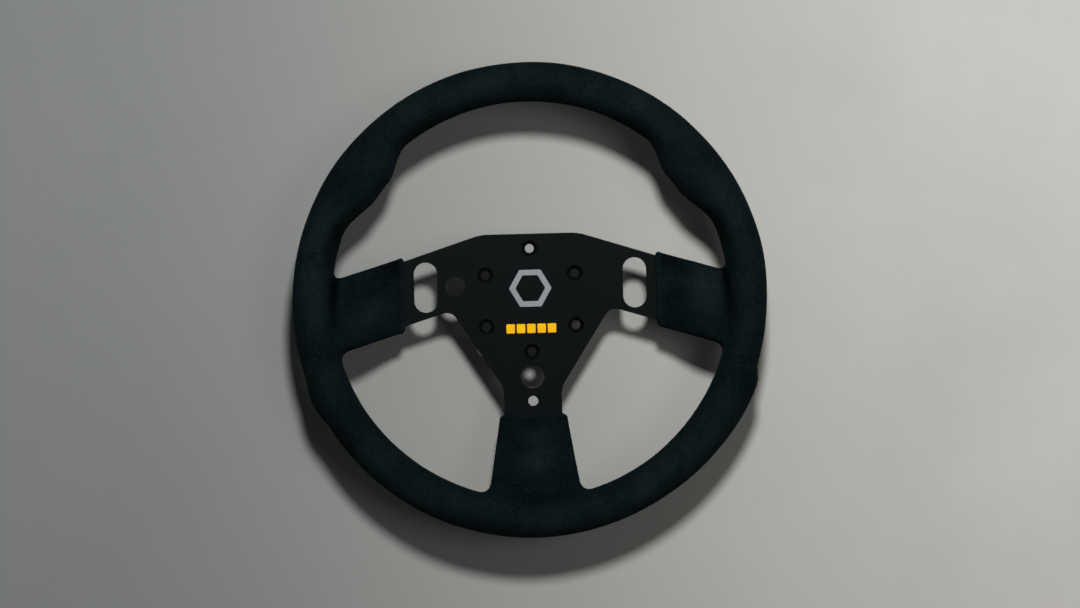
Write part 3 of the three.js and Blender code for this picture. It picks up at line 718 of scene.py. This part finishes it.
def crossed(place):
    """A cross stitch; place gives a point near the skin from shares along and across the seam."""
    share = np.linspace(-1, 1, 7)
    one = [place(s, s) for s in share]
    other = [place(s, -s) for s in share]
    return [thread(np.array(one), 0.0), thread(np.array(other), CROSSING_LIFT)]


def stitches(start, length, count, place):
    """Cross stitches spaced evenly along a seam; place gives a point from a position and an offset."""
    middles = start + length * (np.arange(count) + 0.5) / count
    return gather([
        one
        for middle in middles
        for one in crossed(lambda along, aside: place(middle, along, aside * STITCH_HALF_WIDTH))
    ])


def rim_stitches():
    def place(middle, along, aside):
        degrees = middle + STITCH_HALF_TURN * along
        inner, outer = rim_radii(degrees)
        angle = SEAM_ANGLE + aside / SECTION_RADIUS
        radius = (inner + outer) / 2 + (outer - inner) / 2 * math.cos(angle)
        return np.array([*polar(radius, degrees), RIM_Z + RIM_HALF_DEPTH * math.sin(angle)])

    return stitches(-89, 360, round(2 * math.pi * SEAM_RADIUS / STITCH_PITCH), place)


def spoke_stitches(spoke):
    def place(middle, along, aside):
        out = np.array([middle + STITCH_HALF_LENGTH * along])
        return from_spoke(out, spoke_middle(out, spoke) + aside, cover_heights(out)[0], spoke)[0]

    start = COVER_START[spoke] + SPOKE_STITCHES[0]
    length = SPOKE_STITCHES[1] - start
    return stitches(start, length, round(length / STITCH_PITCH), place)


# The folded edge's section: distance from the cover's end, and height over its surface
HEM_PROFILE = [(1.1, -3.1), (0.45, -2.6), (0.05, -1.7), (-0.1, -0.9), (0.0, -0.35), (0.35, 0.0), (0.9, 0.18),
               (1.6, 0.26), (2.5, 0.26), (3.0, 0.18), (3.3, -0.05), (3.4, -0.6), (3.2, -3.1)]


def hem_pull(along, spoke):
    """How much narrower a cover is at a distance from its end: rounded corners, and the bottom's neck."""
    along = max(along, 0)
    left = COVER_CORNER - min(along, COVER_CORNER)
    corner = COVER_CORNER - math.sqrt(COVER_CORNER**2 - left**2)
    if spoke == "bottom":
        return min(corner, 0.9) + 0.7 * (NECK_LENGTH - min(along, NECK_LENGTH))
    return min(corner, 1.7)


def squared(wave, power):
    """A sine or cosine with its corners drawn out, so that a circle becomes a rounded box."""
    return np.sign(wave) * np.abs(wave) ** power


def hem(spoke):
    """The folded edge of a spoke's cover: a soft band round its inner end, along a path that lies on
    the cover a little way behind it."""
    count = 160
    turn = np.arange(count) * 2 * np.pi / count
    start = COVER_START[spoke]
    out = np.full(count, start + 5.0)
    wide = 24.5 * squared(np.cos(turn), 0.35)
    height = (PLATE_BACK + PLATE_FRONT) / 2 + 4.4 * squared(np.sin(turn), 0.5)
    base = from_spoke(out, spoke_middle(out, spoke) + wide, height, spoke)
    plane = 1 if spoke == "bottom" else 0
    base = settle(base, False, 8, plane)
    normal = skin_normal(base)
    normal[:, plane] = 0
    normal /= np.linalg.norm(normal, axis=1)[:, None]
    _, across = along_spoke(base, spoke)
    off = across - spoke_middle(out, spoke)
    rings = []
    for along, rise in HEM_PROFILE:
        moved = base + normal * rise
        _, wide = along_spoke(moved, spoke)
        here = np.full(count, start + along)
        shift = spoke_middle(here, spoke) - spoke_middle(out, spoke)
        pull = hem_pull(along, spoke) * off / np.abs(off).max()
        height = moved[:, 2] - 0.12 * smoothstep(along, 3.4, 0)
        rings.append(from_spoke(here, wide + shift - pull, height, spoke))
    faces = []
    for i in range(len(HEM_PROFILE)):
        faces += band(i * count, (i + 1) % len(HEM_PROFILE) * count, count)
    points = np.concatenate(rings)
    made = piece(f"hem_{spoke}", points, faces, SUEDE, "wheel", "suede", sharp=180)
    weights(made, "wear", 0.12 + 0.2 * PATCH_WEAR(points))


make_skin()
piece("rim_stitching", *rim_stitches(), THREAD, "wheel", "suede", sharp=180)
for side in SPOKES:
    piece(f"spoke_stitching_{side}", *spoke_stitches(side), THREAD, "wheel", "suede", sharp=180)
    hem(side)

# ---- Plate and marks, cut from flat outlines ----


def rounded(corners, steps=14):
    """A closed outline through (x, y, radius) corners, rounded as in the CAD model."""
    points = []
    for i, (x, y, radius) in enumerate(corners):
        corner = np.array((x, y), float)
        if radius == 0:
            points.append(corner)
            continue
        before = np.array(corners[i - 1][:2]) - corner
        after = np.array(corners[(i + 1) % len(corners)][:2]) - corner
        before /= np.linalg.norm(before)
        after /= np.linalg.norm(after)
        reach = radius / math.tan(math.acos(before @ after) / 2)
        start, end = corner + before * reach, corner + after * reach
        for t in np.linspace(0, 1, steps):
            points.append((1 - t) ** 2 * start + 2 * t * (1 - t) * corner + t * t * end)
    return np.array(points)


def circle(x, y, radius, count=56):
    return np.array((x, y)) + polar(radius, np.arange(count) * 360 / count)


def slot_outline(x, y, half_width, length, steps=28):
    end = polar(half_width, np.linspace(0, 180, steps)) + (0, length / 2 - half_width)
    return np.concatenate([end, -end]) + (x, y)


def widened(outline, amount):
    """An outline moved outwards by an amount."""
    following = np.roll(outline, -1, 0) - outline
    area = (outline[:, 0] * np.roll(outline[:, 1], -1) - outline[:, 1] * np.roll(outline[:, 0], -1)).sum()
    side = np.stack([following[:, 1], -following[:, 0]], -1) * np.sign(area)
    side /= np.maximum(np.linalg.norm(side, axis=1), 1e-9)[:, None]
    previous = np.roll(side, 1, 0)
    return outline + amount * (side + previous) / (1 + (side * previous).sum(1))[:, None]


def sheet_metal(outer, holes):
    """A flat solid. Each contour is (outline, levels), a level being (how far it is widened, height),
    from the front down to the back."""
    points, faces = [], []
    fronts, backs = [], []
    for outline, levels in [outer, *holes]:
        first, count = len(points), len(outline)
        for amount, height in levels:
            points += [(x, y, height) for x, y in widened(outline, amount)]
        last = len(points) - count
        for start in range(first, last, count):
            faces += band(start, start + count, count)
        fronts.append(range(first, first + count))
        backs.append(range(last, last + count))
    for loops in (fronts, backs):
        order = [i for loop in loops for i in loop]
        flat = [[Vector((points[i][0], points[i][1], 0)) for i in loop] for loop in loops]
        faces += [tuple(order[i] for i in face) for face in tessellate_polygon(flat)]
    return np.array(points), faces


def cut_edge(front=PLATE_FRONT, back=PLATE_BACK, chamfer=PLATE_EDGE):
    """Levels of a hole with chamfered edges."""
    return [(chamfer, front), (0, front - chamfer), (0, back + chamfer), (chamfer, back)]


def inward(levels):
    return [(-amount, height) for amount, height in levels]


def side_arm():
    """Corners of the right arm, from its upper edge out to the tongue and back."""
    def sloping(x, y):
        return x, y - SIDE_SLOPE * (x - COVER_START["right"]), 0

    top, bottom = SIDE_MIDDLE_Y + TONGUE_HALF_WIDTH, SIDE_MIDDLE_Y - TONGUE_HALF_WIDTH
    return [sloping(SIDE_SHOULDER, SIDE_TOP_Y), sloping(TONGUE_START, top), sloping(ARM_END, top),
            sloping(ARM_END, bottom), sloping(TONGUE_START, bottom), sloping(SIDE_SHOULDER, SIDE_BOTTOM_Y)]


def mirrored(corners):
    return [(-x, y, radius) for x, y, radius in reversed(corners)]


def plate_outline():
    right = [PLATE_TOP_CORNER, *side_arm(), PLATE_CROTCH, PLATE_WAIST]
    foot = [(PLATE_WAIST[0], -BOTTOM_SHOULDER, 0), (TONGUE_HALF_WIDTH, -BOTTOM_TONGUE_START, 0),
            (TONGUE_HALF_WIDTH, -ARM_END, 0)]
    return rounded(right + foot + mirrored(foot) + mirrored(right))


def bolt_levels():
    """Levels of a countersunk hole."""
    front, back = SINK_EDGES
    return [(SINK + front, PLATE_FRONT), (SINK, PLATE_FRONT - front), (0, PLATE_FRONT - SINK),
            (0, PLATE_BACK + back), (back, PLATE_BACK)]


def make_plate():
    """The plate, cut flat, then bent up along its three arms."""
    slots = [slot_outline(side * SLOT[0], *SLOT[1:]) for side in (-1, 1)]
    buttons = [circle(*hole) for hole in BUTTON_HOLES]
    holes = [(outline, cut_edge()) for outline in slots + buttons]
    bolts = [polar(BOLT_CIRCLE_RADIUS, 30 + 60 * i) for i in range(6)]
    holes += [(circle(*place, BOLT_HOLE_RADIUS), bolt_levels()) for place in bolts]
    points, faces = sheet_metal((plate_outline(), inward(cut_edge())), holes)
    plate = piece("plate", points, faces, PLATE, "wheel", "plate", ["spoke_plate"], sharp=25)
    shell = bmesh.new()
    shell.from_mesh(plate.data)
    for way, _ in SPOKES.values():
        normal = Vector((*way, 0))
        for out in np.linspace(*RAMP, 9):
            place = normal * float(out) * MM
            everything = [*shell.verts, *shell.edges, *shell.faces]
            bmesh.ops.bisect_plane(shell, geom=everything, dist=1e-7, plane_co=place, plane_no=normal)
    for corner in shell.verts:
        out = max(abs(corner.co.x), -corner.co.y) / MM
        share = (out - RAMP[0]) / (RAMP[1] - RAMP[0])
        corner.co.z += ARM_LIFT * min(1, max(0, share)) * MM
    shell.to_mesh(plate.data)
    shell.free()
    plate.data.set_sharp_from_angle(angle=math.radians(25))


MARK_TOP = PLATE_FRONT + 0.3
EMBLEM_Y = 8
EMBLEM_RADIUS = 14.5
EMBLEM_STROKE = 4.4
BAR_Y = -19.3
BAR_BLOCKS = 5
BLOCK_PITCH = 7.0
BLOCK_HALF = (2.95, 3.2)  # half a block's width and height


def make_emblem():
    """A generic hexagon ring with softly broken edges."""
    def hexagon(radius, corner=1.5):
        return rounded([(*polar(radius, 60 * i), corner) for i in range(6)]) + (0, EMBLEM_Y)

    bevel = 0.09
    edge = [(bevel, MARK_TOP), (0, MARK_TOP - bevel), (0, PLATE_FRONT)]
    opening = hexagon(EMBLEM_RADIUS - EMBLEM_STROKE)
    points, faces = sheet_metal((hexagon(EMBLEM_RADIUS), inward(edge)), [(opening, edge)])
    piece("emblem_ring", points, faces, EMBLEM, "wheel", "emblem", ["emblem"], sharp=25)


def make_bar():
    """A generic enamel bar in even blocks, with dark outlines that are darker on the lower side, as painted
    shade.
    """
    parts, edges = [], []
    border, bevel, corner = 0.5, 0.1, 0.9
    edge = [(border, MARK_TOP), (bevel, MARK_TOP), (0, MARK_TOP - bevel), (0, PLATE_FRONT)]
    wide, high = BLOCK_HALF
    for i in range(BAR_BLOCKS):
        x = (i - (BAR_BLOCKS - 1) / 2) * BLOCK_PITCH
        corners = [(x + a * wide, b * high, corner) for a, b in ((1, 1), (-1, 1), (-1, -1), (1, -1))]
        outline = rounded(corners, 8) + (0, BAR_Y)
        parts.append(sheet_metal((outline, inward(edge)), []))
        share = np.repeat([0.0, 0.8, 1.0, 1.0], len(outline))
        low = parts[-1][0][:, 1] < BAR_Y
        # Painted shade: the lower edges darken fully, the upper ones about a third as much.
        edges.append(share * np.where(low, 1.0, 0.35))
    bar = piece("enamel_bar", *gather(parts), ENAMEL, "wheel", "stripe", ["stripe"], sharp=25)
    weights(bar, "edge", np.concatenate(edges))


make_plate()
make_emblem()
make_bar()

# ---- Hub and ball lock ----


def cut(made, parts):
    """Takes (points, faces) solids out of a piece."""
    cutter = add_object("cutter", solid_mesh("cutter", *gather(parts)))
    modifier = made.modifiers.new("cut", "BOOLEAN")
    modifier.object = cutter
    modifier.operation = "DIFFERENCE"
    modifier.solver = "EXACT"
    graph = bpy.context.evaluated_depsgraph_get()
    result = bpy.data.meshes.new_from_object(made.evaluated_get(graph))
    made.modifiers.clear()
    made.data = result
    bpy.data.objects.remove(cutter)
    made.data.shade_smooth()
    made.data.set_sharp_from_angle(angle=math.radians(32))


GAP = 0.3  # clearance between neighbouring pieces
HUB_FRONT = PLATE_BACK - GAP
FLANGE_RADIUS = 31
FLANGE_BACK = 28.0
HUB_RADIUS = 17.0
SOCKET_RADIUS = 12
SOCKET_DEPTH = 26.0
SPLINE_START = 13.0
SPLINE_ROOT_RADIUS = 11.9
BALL_RADIUS = 3.175
BALL_Z = 8.5
BALL_ORBIT = HUB_RADIUS - BALL_RADIUS
STUD_CIRCLE_RADIUS = 25.4
STUD_RADIUS = 2.5
STUD_HEAD_RADIUS = 3.9
STUD_HEAD_HEIGHT = 1.6
STUD_END = 23.2
THREAD_PITCH = 0.8
THREAD_ROOT = 2.15
NUT_ACROSS_FLATS = 8.0
NUT_BOTTOM = 23.7
NUT_TOP = NUT_BOTTOM + 4
RING_RADIUS = 20.5
RING_BOTTOM = 1.1
RING_TOP = 2.2
RING_GROOVE_RADIUS = 16


def spline_wall(degrees):
    """Radius of the splined socket: twelve teeth, 1 mm high, with soft flanks."""
    return SPLINE_ROOT_RADIUS - plateau((degrees / 30) % 1, (0.46, 0.58), (0.96, 1.0))


def make_hub():
    """Flange, barrel with the ring's groove and the balls' holes, and the splined socket."""
    flange = [(0, HUB_FRONT), (12, HUB_FRONT), (29.6, HUB_FRONT), (30.6, 32.5), (FLANGE_RADIUS, 32.0),
              (FLANGE_RADIUS, 29.0), (30.4, 28.25), (29.6, FLANGE_BACK), (18.6, FLANGE_BACK), (17.5, 27.7)]
    barrel = [(HUB_RADIUS, z) for z in (27.0, 24, 18, 12, RING_TOP + 0.25)]
    groove_edges = [(16.85, 2.3), (RING_GROOVE_RADIUS, 2.3), (RING_GROOVE_RADIUS, 1.0), (16.85, 1.0)]
    end = [(HUB_RADIUS, 0.85), (HUB_RADIUS, 0.6), (16.7, 0.15), (16.3, 0), (13.2, 0), (12.8, 0.15)]
    socket = [(SOCKET_RADIUS, 1.1), (SOCKET_RADIUS, 4), (SOCKET_RADIUS, SPLINE_START),
              (spline_wall, SPLINE_START), (spline_wall, 25.4), (9.6, SOCKET_DEPTH), (0, SOCKET_DEPTH)]
    shape = revolve(flange + barrel + groove_edges + end + socket, 240)
    hub = piece("hub", *shape, HUB, "wheel", "hub", ["hub_body"])
    holes = []
    for i in range(6):
        x, y = polar(1.0, 60 * i)
        holes.append(tube([(10 * x, 10 * y, BALL_Z), (20 * x, 20 * y, BALL_Z)], BALL_RADIUS + GAP, 40))
        x, y = polar(STUD_CIRCLE_RADIUS, 60 * i)
        holes.append(tube([(x, y, FLANGE_BACK - 1), (x, y, PLATE_BACK + 1)], STUD_RADIUS + GAP, 32))
    cut(hub, holes)


def make_stud(i):
    """A stud with a thread of plain rings, and its flat head on the plate."""
    turn = ((STUD_RADIUS, 0), (STUD_RADIUS, 0.1), (THREAD_ROOT, 0.4), (THREAD_ROOT, 0.5))
    heights = np.arange(STUD_END + 1, 32.2, THREAD_PITCH)
    threads = [(radius, z + rise) for z in heights for radius, rise in turn]
    head = PLATE_BACK + STUD_HEAD_HEIGHT
    rings = [(0, STUD_END), (1.7, STUD_END), (2.1, 23.4), (2.3, 23.8), *threads, (STUD_RADIUS, 32.9),
             (STUD_RADIUS, PLATE_BACK), (STUD_HEAD_RADIUS, PLATE_BACK), (STUD_HEAD_RADIUS, head), (0, head)]
    points, faces = revolve(rings, 40)
    points[:, :2] += polar(STUD_CIRCLE_RADIUS, 60.0 * i)
    piece(f"stud_{i + 1}", points, faces, ZINC, "wheel", "hardware", [f"hub_stud_{i + 1}"], sharp=40)


def make_nut(i):
    """A hexagon nut with turned corners: the same profile from both ends."""
    def chamfered(limit):
        def radius(degrees):
            from_flat = (degrees + 60) % 60 - 30
            return np.minimum(NUT_ACROSS_FLATS / 2 / np.cos(np.radians(from_flat)), limit)
        return radius

    profile = [(2.8, 0.25), (3.05, 0), (3.9, 0), (chamfered(4.25), 0.18), (chamfered(4.62), 0.45)]
    rings = [(radius, NUT_BOTTOM + depth) for radius, depth in profile]
    rings += [(radius, NUT_TOP - depth) for radius, depth in reversed(profile)]
    points, faces = revolve(rings, 72, closed=True)
    points[:, :2] += polar(STUD_CIRCLE_RADIUS, 60.0 * i)
    piece(f"nut_{i + 1}", points, faces, ZINC, "wheel", "hardware", [f"hub_nut_{i + 1}"], sharp=28)


def make_ball(i):
    turns = np.linspace(0, math.pi, 24)[1:-1]
    round_side = [(BALL_RADIUS * math.sin(a), BALL_RADIUS * math.cos(a)) for a in turns]
    points, faces = revolve([(0, BALL_RADIUS), *round_side, (0, -BALL_RADIUS)], 40)
    points += [*polar(BALL_ORBIT, 60.0 * i), BALL_Z]
    piece(f"ball_{i + 1}", points, faces, BALL, f"ball_{i + 1}", "ball", [f"lock_ball_{i + 1}"], sharp=180)


COLLAR_BOTTOM = 2.5
COLLAR_TOP = 17.5
COLLAR_RADIUS = 23.5
FLUTES = 20
FLUTE_DEPTH = 0.9
LIP_RADIUS = 27.5
LIP_TOP = 6.5
KNURLS = 80
KNURL_DEPTH = 0.28
CONE_SLOPE = 0.27  # radius that a ball gains for each millimetre of the collar's travel
SPRING_SEAT = 12.0
SPRING_POCKET_RADIUS = 20.4
SPRING_RADIUS = 18.7
SPRING_WIRE_RADIUS = 0.7
SPRING_TURNS = 5
SPRING_ENDS = (13.0, 27.0)  # heights of the wire's middle


def fluted(depth, radius=COLLAR_RADIUS):
    return lambda degrees: radius - depth * (1 - np.abs(np.sin(np.radians(degrees * FLUTES / 2))))


def knurled(depth):
    return lambda degrees: LIP_RADIUS - depth * (0.5 + 0.5 * np.cos(np.radians(degrees * KNURLS)))


def cone_radius(z):
    """Radius of the cone that lets the balls out."""
    at_ball = BALL_ORBIT + (BALL_RADIUS + GAP) / math.cos(math.atan(CONE_SLOPE))
    return at_ball + (BALL_Z - z) * CONE_SLOPE


def make_collar():
    """The release collar: knurled lip, fluted grip, the spring's pocket, and the cone over the balls."""
    land = HUB_RADIUS + GAP
    lip = [(cone_radius(COLLAR_BOTTOM) + 0.3, COLLAR_BOTTOM), (26.3, COLLAR_BOTTOM), (27.2, 2.8),
           (knurled(0.0), 3.3), (knurled(KNURL_DEPTH), 3.6), (knurled(KNURL_DEPTH), 5.4), (knurled(0.0), 5.7),
           (27.2, 6.25), (26.4, LIP_TOP), (24.4, LIP_TOP)]
    grip = [(fluted(0.2, 23.8), 6.7), *((fluted(FLUTE_DEPTH), z) for z in (7.6, 12.0, 16.0)),
            (fluted(0.5), 16.7), (23.1, 17.1), (22.6, COLLAR_TOP), (20.8, COLLAR_TOP)]
    pocket = [(SPRING_POCKET_RADIUS, 17.2), (SPRING_POCKET_RADIUS, SPRING_SEAT), (17.6, SPRING_SEAT)]
    cone = [(land, 11.7), (land, BALL_Z + (cone_radius(BALL_Z) - land) / CONE_SLOPE), (cone_radius(3.0), 3.0)]
    points, faces = revolve(lip + grip + pocket + cone, 480, closed=True)
    piece("collar", points, faces, COLLAR, "collar", "collar", ["release_collar"], sharp=30)


def make_spring():
    """The coil spring, thinner at its ends, on a mesh of its own."""
    share = np.linspace(0, 1, 56 * SPRING_TURNS + 1)
    low, high = SPRING_ENDS
    height = low + (high - low) * share
    path = np.concatenate([polar(SPRING_RADIUS, 360 * SPRING_TURNS * share), height[:, None]], 1)
    taper = 0.75 + 0.25 * np.clip(np.minimum(share, 1 - share) * 60, 0, 1)
    points, faces = tube(path, SPRING_WIRE_RADIUS, 12, taper)
    spring = piece("spring", points, faces, SPRING, "wheel", "spring", ["collar_spring"], sharp=50)
    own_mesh(spring)


def make_snap_ring():
    """The open ring that stops the collar, with a hole in each of its ends for pliers."""
    opening, hole_turn = 9.2, 13.4  # degrees from the middle of the gap
    inner = polar(RING_GROOVE_RADIUS + GAP, np.linspace(360 - opening, opening, 90))
    outer = polar(RING_RADIUS, np.linspace(opening, 360 - opening, 110))
    edge = cut_edge(RING_TOP, RING_BOTTOM, 0.12)
    holes = [(circle(*polar(18.4, turn), 0.75, 24), edge) for turn in (hole_turn, -hole_turn)]
    points, faces = sheet_metal((np.concatenate([outer, inner]), inward(edge)), holes)
    piece("snap_ring", points, faces, SPRING, "wheel", "hardware", ["retaining_ring"], sharp=30)


make_hub()
make_collar()
make_spring()
make_snap_ring()
for number in range(6):
    make_stud(number)
    make_nut(number)
    make_ball(number)

# ---- CAD nodes that stay, inside the rim ----

for name, node in nodes.items():
    for start, kept in (("rim_foam", FOAM), ("rim_hoop", HOOP), ("rivet", ALLOY)):
        if name.startswith(start):
            node.data.materials.clear()
            node.data.materials.append(kept)

# ---- Floor, light and camera ----


def floor_surface():
    look = Look("floor", Specular_IOR_Level=0.2)
    aside = look.node("ShaderNodeSeparateXYZ", {0: look.place}).outputs["X"]
    # Painted light: the floor's colour gets lighter towards +x, as if lit more strongly from the right.
    painted_light = look.spread(aside, 0, 1, -0.3, 0.5, "SMOOTHSTEP")
    tone = look.blend(painted_light, (0.235, 0.248, 0.236), (0.66, 0.645, 0.61))
    cloud = look.spread(look.noise(0.2, 6.0, roughness=0.6), 0, 0.22)
    look.color(look.blend(cloud, tone, (0.30, 0.31, 0.30)))
    look.roughness(look.spread(look.noise(0.01, 4.0), 0.75, 0.9))
    look.bump(look.noise(0.004, 4.0), 0.0002, 0.3)
    return look.material


def make_floor():
    mesh = bpy.data.meshes.new("floor")
    reach = 6.0
    corners = [(a * reach, b * reach, 0) for a, b in ((-1, -1), (1, -1), (1, 1), (-1, 1))]
    mesh.from_pydata(corners, [], [(0, 1, 2, 3)])
    mesh.materials.append(floor_surface())
    floor = add_object("floor", mesh)


def area_light(name, place, target, size, power, color=(1, 1, 1)):
    data = bpy.data.lights.new(name, "AREA")
    data.shape = "DISK"
    data.size = size
    data.energy = power
    data.color = color
    light = add_object(name, data)
    light.location = place
    light.visible_camera = False
    light.rotation_euler = (Vector(target) - Vector(place)).to_track_quat("-Z", "Y").to_euler()


def make_lights():
    """A small key light beyond the top of the wheel, a wide one at the right, and four low fills."""
    area_light("key", (0.08, 0.60, 1.35), (0, 0, 0), 0.19, 18.5)
    area_light("right", (0.9, 0.0, 1.9), (0.3, 0, 0), 0.8, 5, (1.0, 0.985, 0.96))
    for i in range(4):
        x, y = polar(1.9, 25.0 + 90 * i)
        area_light(f"low_{i + 1}", (x, y, 0.18), (0, 0, 0.06), 0.3, 2.4, (0.96, 0.98, 1.0))
    world = bpy.data.worlds.new("studio")
    world.use_nodes = True
    back = world.node_tree.nodes["Background"]
    back.inputs["Color"].default_value = (0.92, 0.96, 1.0, 1)
    back.inputs["Strength"].default_value = 0.022
    bpy.context.scene.world = world


def make_camera():
    """Straight above the plate, a little turned, so that the picture is 732.24 mm wide there."""
    distance, width = 2.0, 0.73224
    turn = math.radians(-1.5)
    data = bpy.data.cameras.new("camera")
    data.sensor_width = 36
    data.lens = data.sensor_width * distance / width
    camera = add_object("camera", data)
    camera.location = (0.0063, -0.00288, distance + PLATE_FRONT * MM)
    camera.rotation_euler = (0, 0, turn)
    bpy.context.scene.camera = camera


make_floor()
make_lights()
make_camera()
bpy.context.scene.view_settings.view_transform = "Standard"
